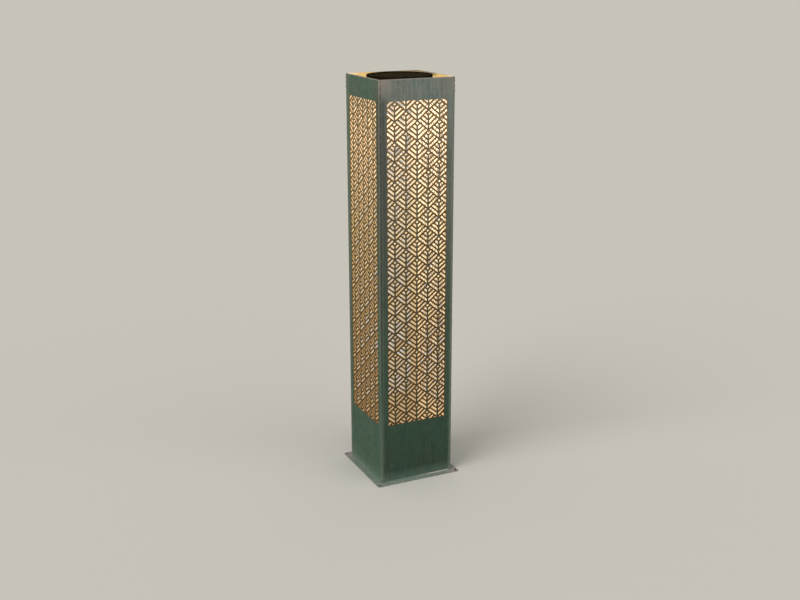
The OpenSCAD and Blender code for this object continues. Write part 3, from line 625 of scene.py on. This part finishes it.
# %% Zinc and nickel material
def zinc_plated(name, tone, cloud_mm, roughness):
    """A plated finish of that tone, with clouds of that size."""
    finish, tree, shader = blank(name)
    place = add(tree, "TexCoord").outputs["Object"]
    clouds = add(tree, "TexNoise", {"Vector": place, "Scale": per(cloud_mm), "Detail": 4,
                                    "Roughness": 0.6})
    grain = add(tree, "TexNoise", {"Vector": place, "Scale": per(0.35), "Detail": 3})
    shade = add(tree, "ValToRGB", {0: clouds}, ramp=[(0.3, "#b4b4b4"), (0.7, "#ffffff")])
    colour = add(tree, "Mix", {FACTOR: 1.0, FIRST: tone, SECOND: shade}, data_type="RGBA",
                 blend_type="MULTIPLY")
    rough = add(tree, "MapRange", {"Value": clouds, "To Min": roughness - 0.12,
                                   "To Max": roughness + 0.12})
    bump = add(tree, "Bump", {"Strength": 0.15, "Distance": 0.0001, "Height": grain})
    fill(tree, shader, {"Base Color": colour, "Roughness": rough, "Normal": bump, "Metallic": 1.0})
    return finish


paint(zinc_plated("zinc_plated_strip", "#9a9c97", 6, 0.42), "hanger_tabs")
paint(zinc_plated("zinc_plated_screw", "#b9bab5", 1.5, 0.32), "housing_screws",
      "battery_cover_screws", "board_screws")
paint(zinc_plated("nickel_plated_contact", "#cfc9b8", 2.5, 0.24), "battery_contact_plus",
      "battery_contact_minus")

# %% [markdown]
# ## Moulded plastics and rubber
#
# The bezel, the housing and the battery cover are black ABS from a mould with a fine spark-eroded
# texture: the surface scatters light softly, and never shines like glass. The sun has made the
# bezel quite matt, and it gathers pale dust on what looks up. The same recipe with other tones
# gives the switch, its slider and the small parts, and a softer, rougher one gives the rubber
# seals.

# %% Plastic material
def moulded(name, low, high, grain_mm, roughness, dust=0.0, gloss=0.5):
    """A moulded finish between two tones, with grain of that size and dust on what looks up."""
    finish, tree, shader = blank(name)
    place = add(tree, "TexCoord").outputs["Object"]
    grain = add(tree, "TexNoise", {"Vector": place, "Scale": per(grain_mm), "Detail": 2,
                                   "Roughness": 0.5})
    cloud = add(tree, "TexNoise", {"Vector": place, "Scale": per(grain_mm * 30), "Detail": 4})
    colour = add(tree, "ValToRGB", {0: cloud}, ramp=[(0.35, low), (0.65, high)])
    rough = add(tree, "MapRange", {"Value": cloud, "From Min": 0.3, "From Max": 0.7,
                                   "To Min": roughness - 0.06, "To Max": roughness + 0.06})
    if dust:
        normal = add(tree, "NewGeometry").outputs["Normal"]
        up = add(tree, "SeparateXYZ", {0: normal}).outputs["Z"]
        settled = add(tree, "MapRange", {"Value": up, "From Min": 0.4, "From Max": 1.0,
                                         "To Max": dust})
        settled = add(tree, "Math", {0: settled, 1: cloud}, operation="MULTIPLY")
        colour = add(tree, "Mix", {FACTOR: settled, FIRST: colour, SECOND: "#8a8172"},
                     data_type="RGBA")
    bump = add(tree, "Bump", {"Strength": 0.2, "Distance": grain_mm / 4000, "Height": grain})
    fill(tree, shader, {"Base Color": colour, "Roughness": rough, "Normal": bump,
                        "Specular IOR Level": gloss})
    return finish


paint(moulded("sun_bleached_black_abs", "#100e0a", "#1c1813", 0.4, 0.7, dust=0.10, gloss=0.0),
      "bezel_ring")
paint(moulded("black_abs", "#0d0c0b", "#151412", 0.4, 0.46, gloss=0.2), "lamp_housing",
      "battery_cover")
paint(moulded("black_rubber", "#0e0e0e", "#161616", 0.6, 0.72), "rim_seal", "battery_seal")
paint(moulded("black_epoxy", "#171717", "#242424", 0.3, 0.38), "board_parts")
paint(moulded("grey_nylon", "#2b2b2b", "#373736", 0.4, 0.5), "switch_case")
paint(moulded("ivory_abs", "#c9c4b4", "#dad5c6", 0.4, 0.4), "switch_slider")
paint(moulded("white_abs", "#dcdcd6", "#e8e7e2", 0.5, 0.22), "led_reflector")
paint(moulded("red_pvc_sleeve", "#7c1713", "#9a2420", 0.3, 0.36), "lead_wires")

# %% [markdown]
# ## Solar cells under their window
#
# A silicon cell is nearly black, with a thin film that gives a faint brown cast, and fine printed
# silver lines every couple of millimetres. The strips lie on a black-brown board. Over them is a
# clear acrylic window: it mostly shows what is below it, so it is made partly transparent, and
# what the eye sees of it is a thin film of dust. The film takes its gloss away: seen at a low
# angle, a glossy window would mirror the pale studio and turn the cells grey.

# %% Cell, board and window materials
def silicon():
    finish, tree, shader = blank("silicon_cell")
    place = add(tree, "TexCoord").outputs["Object"]
    crystals = add(tree, "TexVoronoi", {"Vector": place, "Scale": per(9)}).outputs["Color"]
    shade = add(tree, "SeparateColor", {0: crystals})
    colour = add(tree, "ValToRGB", {0: shade},
                 ramp=[(0.0, "#14110f"), (0.5, "#1a1612"), (1.0, "#221c15")])
    # the real lines are 0.1 mm wide, drawn 0.3 mm wide so that they show
    along = add(tree, "SeparateXYZ", {0: place}).outputs["Y"]
    beat = add(tree, "Math", {0: along, 1: per(2.5)}, operation="MULTIPLY")
    beat = add(tree, "Math", {0: beat}, operation="FRACT")
    finger = add(tree, "Math", {0: beat, 1: 0.12}, operation="LESS_THAN")
    colour = add(tree, "Mix", {FACTOR: finger, FIRST: colour, SECOND: "#6b6454"}, data_type="RGBA")
    rough = add(tree, "MapRange", {"Value": shade, "To Min": 0.3, "To Max": 0.45})
    fill(tree, shader, {"Base Color": colour, "Roughness": rough, "Specular IOR Level": 0.0})
    return finish


def clear_acrylic():
    finish, tree, shader = blank("clear_acrylic_window")
    place = add(tree, "TexCoord").outputs["Object"]
    dust = add(tree, "TexNoise", {"Vector": place, "Scale": per(14), "Detail": 8,
                                  "Roughness": 0.7})
    specks = add(tree, "TexNoise", {"Vector": place, "Scale": per(0.8), "Detail": 2})
    film = add(tree, "Math", {0: dust, 1: specks}, operation="MULTIPLY")
    cover = add(tree, "MapRange", {"Value": film, "From Min": 0.15, "From Max": 0.4,
                                   "To Min": 0.22, "To Max": 0.42})
    rough = add(tree, "MapRange", {"Value": dust, "From Min": 0.3, "From Max": 0.7, "To Min": 0.08,
                                   "To Max": 0.3})
    tint = add(tree, "ValToRGB", {0: dust}, ramp=[(0.3, "#3a3120"), (0.7, "#50452f")])
    fill(tree, shader, {"Base Color": tint, "Alpha": cover,
                        "Roughness": rough, "IOR": 1.49, "Specular IOR Level": 0.0})
    return finish


paint(silicon(), "solar_cells")
paint(moulded("cell_board_laminate", "#13110c", "#1b1812", 0.5, 0.5, gloss=0.0), "cell_board")
paint(clear_acrylic(), "cell_window")

# %% [markdown]
# ## Circuit boards
#
# Solder mask is a glossy lacquer over copper. The copper shows through it as slightly paler
# tracks, so a board looks drawn on even where it is bare.

# %% Circuit board material
def solder_mask(name, ground, track):
    """A lacquered board of the ground's tone, with tracks that show through."""
    finish, tree, shader = blank(name)
    place = add(tree, "TexCoord").outputs["Object"]
    maze = add(tree, "TexVoronoi", {"Vector": place, "Scale": per(6), "Randomness": 0.9},
               distance="MANHATTAN", feature="F1").outputs["Distance"]
    lines = add(tree, "Math", {0: maze, 1: 7.0}, operation="MULTIPLY")
    lines = add(tree, "Math", {0: lines}, operation="FRACT")
    is_track = add(tree, "MapRange", {"Value": lines, "From Min": 0.55, "From Max": 0.62})
    colour = add(tree, "Mix", {FACTOR: is_track, FIRST: ground, SECOND: track}, data_type="RGBA")
    bump = add(tree, "Bump", {"Strength": 0.3, "Distance": 0.00005, "Height": is_track})
    fill(tree, shader, {"Base Color": colour, "Normal": bump, "Roughness": 0.24})
    return finish


paint(solder_mask("green_solder_mask", "#1d4a2c", "#2c6b3f"), "control_board")
paint(solder_mask("white_solder_mask", "#dcdbd2", "#ecebe4"), "led_board")

# %% [markdown]
# ## Battery sleeve
#
# The rechargeable cell has a shrunk PVC sleeve, glossy and slightly wavy, and its ends are bare
# nickel. The sleeve ends short of the flat ends, so a position along the cell tells sleeve from
# metal. A pale band marks its plus end.

# %% Battery material
BUTTON_L = 0.0018       # of the plus end's button
FLAT_END_L = 0.0004     # of the bare minus end
BAND_L = 0.013          # of the pale band, with the button


def battery_sleeve():
    finish, tree, shader = blank("green_pvc_sleeve")
    low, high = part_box("battery")
    place = add(tree, "TexCoord").outputs["Object"]
    waves = add(tree, "TexNoise", {"Vector": place, "Scale": per(5), "Detail": 2})
    along = add(tree, "SeparateXYZ", {0: place}).outputs["X"]
    button = add(tree, "Math", {0: along, 1: high.x - BUTTON_L}, operation="GREATER_THAN")
    flat_end = add(tree, "Math", {0: along, 1: low.x + FLAT_END_L}, operation="LESS_THAN")
    metal = add(tree, "Math", {0: button, 1: flat_end}, operation="MAXIMUM")
    band = add(tree, "Math", {0: along, 1: high.x - BAND_L}, operation="GREATER_THAN")
    sleeve = add(tree, "ValToRGB", {0: waves}, ramp=[(0.35, "#2c6a3c"), (0.65, "#3b8049")])
    sleeve = add(tree, "Mix", {FACTOR: band, FIRST: sleeve, SECOND: "#c8cbc4"}, data_type="RGBA")
    colour = add(tree, "Mix", {FACTOR: metal, FIRST: sleeve, SECOND: "#c9c7bd"}, data_type="RGBA")
    bump = add(tree, "Bump", {"Strength": 0.1, "Distance": 0.0002, "Height": waves})
    fill(tree, shader, {"Base Color": colour, "Metallic": metal, "Normal": bump,
                        "Roughness": 0.28})
    return finish


paint(battery_sleeve(), "battery")

# %% [markdown]
# ## What gives the light
#
# Four chips under a yellow phosphor shine down through a frosted polycarbonate dome. Both are made
# to glow: the chips a warm yellow, the dome nearly white in the middle and a little darker towards
# its rim, where less light reaches it.

# %% Phosphor and frosted dome materials
def lit_phosphor():
    finish, tree, shader = blank("lit_phosphor")
    place = add(tree, "TexCoord").outputs["Object"]
    grain = add(tree, "TexNoise", {"Vector": place, "Scale": per(0.5), "Detail": 2})
    tone = add(tree, "ValToRGB", {0: grain}, ramp=[(0.3, "#ffd27a"), (0.7, "#ffe3a6")])
    fill(tree, shader, {"Base Color": tone, "Emission Color": tone, "Emission Strength": 4.0,
                        "Roughness": 0.4})
    return finish


def frosted_polycarbonate():
    finish, tree, shader = blank("frosted_polycarbonate")
    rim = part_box("frosted_dome")[1].x
    place = add(tree, "TexCoord").outputs["Object"]
    frost = add(tree, "TexNoise", {"Vector": place, "Scale": per(0.6), "Detail": 3})
    parts = add(tree, "SeparateXYZ", {0: place}).outputs
    flat = add(tree, "CombineXYZ", {0: parts["X"], 1: parts["Y"]})
    radius = add(tree, "VectorMath", {0: flat}, operation="LENGTH")
    outward = add(tree, "MapRange", {"Value": radius, "From Max": rim})
    tone = add(tree, "ValToRGB", {0: outward}, ramp=[
        (0.0, "#fff3d2"), (0.6, "#ffe2a8"), (1.0, "#e9b871")])
    bump = add(tree, "Bump", {"Strength": 0.15, "Distance": 0.0001, "Height": frost})
    fill(tree, shader, {"Base Color": tone, "Emission Color": tone, "Normal": bump,
                        "Emission Strength": 2.5, "Roughness": 0.5})
    return finish


paint(lit_phosphor(), "led_chips")
paint(frosted_polycarbonate(), "frosted_dome")

# %% [markdown]
# The glow of a surface reaches its neighbours, but a small bright lamp is sampled better as a lamp
# object. A disc light just below the dome lights the walls. It rides with the solar lamp, so it
# comes along when the lamp is lifted out. Its faint pattern on the floor would read as stains
# there, so the floor is left out of what it lights, by light linking.

# %% Lamp under the dome
WALL_LIGHT_W = 0.006        # m
WALL_LIGHT_POWER = 0.5      # W
WALL_LIGHT_DROP = 0.0005    # m below the dome

dome_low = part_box("frosted_dome")[0]
wall_data = bpy.data.lights.new("wall_light", "AREA")
wall_data.shape = "DISK"
wall_data.size = WALL_LIGHT_W
wall_data.energy = WALL_LIGHT_POWER
wall_data.color = linear("#ffdfb8")[:3]
wall_light = bpy.data.objects.new("wall_light", wall_data)
bpy.context.scene.collection.objects.link(wall_light)
wall_light.location = (0, 0, dome_low.z - WALL_LIGHT_DROP)
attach(wall_light, "solar_lamp")
print(f"wall light {WALL_LIGHT_W * 1000:.0f} mm wide, {WALL_LIGHT_POWER} W")

# %% [markdown]
# ## The studio
#
# A product is easiest to judge on a plain pale floor in soft light. A large disc is the floor. The
# world gives an even light from all sides. Sun lamps light the floor alike near and far, so the
# background stays even, and a wide sun angle makes their shadows soft, as a large softbox would. A
# key from the left and a weaker fill from the front model the form. Their levels add up so that a
# surface renders about as bright as its colour says. What the camera sees of the world is a tone
# of its own, near the floor's, so that no dark edge shows at the horizon.

# %% Floor, world and lamps
FLOOR_R = 60            # m
WORLD_LEVEL = 0.62
SUN_DISTANCE = 3        # m, where the sun objects are put


def pale_floor():
    finish, tree, shader = blank("pale_studio_floor")
    fill(tree, shader, {"Base Color": "#cfccc4", "Roughness": 0.9, "Specular IOR Level": 0.1})
    return finish


bpy.ops.mesh.primitive_circle_add(vertices=128, radius=FLOOR_R, fill_type="NGON")
floor = bpy.context.object
floor.name = "floor"
floor.data.materials.append(pale_floor())
unlit = bpy.data.collections.new("unlit_by_wall_light")
unlit.objects.link(floor)
unlit.collection_objects[0].light_linking.link_state = "EXCLUDE"
wall_light.light_linking.receiver_collection = unlit

world = bpy.data.worlds.new("studio")
world.use_nodes = True
tree = world.node_tree
light_tone = tree.nodes["Background"]
fill(tree, light_tone, {"Color": "#e4e2dd", "Strength": WORLD_LEVEL})
seen_tone = add(tree, "Background", {"Color": "#c9c6bd", "Strength": 1.0})
path = add(tree, "LightPath").outputs
seen = add(tree, "Math", {0: path["Is Camera Ray"], 1: path["Is Glossy Ray"]}, operation="MAXIMUM")
seen = add(tree, "Math", {0: seen, 1: path["Is Transmission Ray"]}, operation="MAXIMUM")
both = add(tree, "MixShader", {0: seen, 1: light_tone, 2: seen_tone})
fill(tree, tree.nodes["World Output"], {"Surface": both})
bpy.context.scene.world = world


def soft_sun(name, azimuth, elevation, spread, level):
    """A sun from that direction, spread degrees wide. A white surface square to it gets level."""
    data = bpy.data.lights.new(name, "SUN")
    data.angle = math.radians(spread)
    data.energy = level * math.pi
    lamp = bpy.data.objects.new(name, data)
    bpy.context.scene.collection.objects.link(lamp)
    away = direction(azimuth, elevation)
    lamp.location = away * SUN_DISTANCE
    lamp.rotation_mode = "QUATERNION"
    lamp.rotation_quaternion = (-away).to_track_quat("-Z", "Y")
    print(f"{name}: level {level}")


soft_sun("key", azimuth=-72, elevation=42, spread=40, level=0.50)
soft_sun("fill", azimuth=25, elevation=30, spread=60, level=0.20)
bpy.context.scene.view_settings.view_transform = "Standard"
